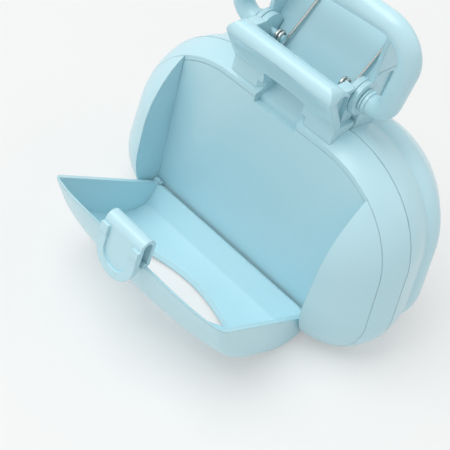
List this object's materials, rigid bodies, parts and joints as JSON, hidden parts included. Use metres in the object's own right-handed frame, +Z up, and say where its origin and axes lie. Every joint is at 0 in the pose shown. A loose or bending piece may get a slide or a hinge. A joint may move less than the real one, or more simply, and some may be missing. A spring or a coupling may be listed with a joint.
{
  "type": "hand-held waste scooper with spring jaws",
  "caption": "Hand-held scooper: two clamshell jaws under squeeze levers, a swinging bail handle, and a bag compartment in front with a hinged door and a snap latch.",
  "frame": {"origin": "on the resting plane, straight below the pivot axis of the jaws, in the middle of the width", "axes": "+Z up, +X along the pivot pins to the object's left-hand side seen from the front, -Y towards the compartment door"},
  "size_m": [0.1512, 0.1305, 0.1493],
  "materials": {
    "blue_plastic": "glossy moulded plastic, pale baby blue",
    "spring_wire": "bright drawn spring wire",
    "pin_steel": "bright zinc plated steel"
  },
  "bodies": {
    "front_body": {"front_jaw_shell": "blue_plastic", "compartment_housing": "blue_plastic", "front_handle": "blue_plastic", "pivot_pin_left": "pin_steel", "pivot_pin_right": "pin_steel", "bail_collar_left": "blue_plastic", "bail_collar_right": "blue_plastic", "torsion_spring_left": "spring_wire", "torsion_spring_right": "spring_wire", "door_pin_left": "blue_plastic", "door_pin_right": "blue_plastic", "housing_screws": "pin_steel", "front_handle_screws": "pin_steel"},
    "rear_body": {"rear_jaw_shell": "blue_plastic", "rear_handle": "blue_plastic", "rear_handle_screws": "pin_steel"},
    "door": {"compartment_door": "blue_plastic", "latch_arm": "blue_plastic"},
    "latch": {"latch_tab": "blue_plastic"},
    "bail": {"bail_handle": "blue_plastic"}
  },
  "joints": [
    {"name": "jaw_pivot", "type": "hinge", "parent": "front_body", "child": "rear_body", "pos_m": [0, 0, 0.106], "axis": [1, 0, 0], "range_deg": [0, 35], "stiffness_Nm_per_rad": 0.25, "springref_deg": -45.84, "deforming": ["torsion_spring_left", "torsion_spring_right"]},
    {"name": "door_hinge", "type": "hinge", "parent": "front_body", "child": "door", "pos_m": [0, -0.0153, 0.0125], "axis": [1, 0, 0], "range_deg": [-61.6, 0]},
    {"name": "latch_flex", "type": "hinge", "parent": "door", "child": "latch", "pos_m": [0, -0.08153, 0.05743], "axis": [1, 0, 0], "range_deg": [0, 8], "stiffness_Nm_per_rad": 0.15, "springref_deg": -2.86},
    {"name": "bail_swing", "type": "hinge", "parent": "front_body", "child": "bail", "pos_m": [0, 0, 0.106], "axis": [1, 0, 0], "range_deg": [-77, 88]}
  ]
}
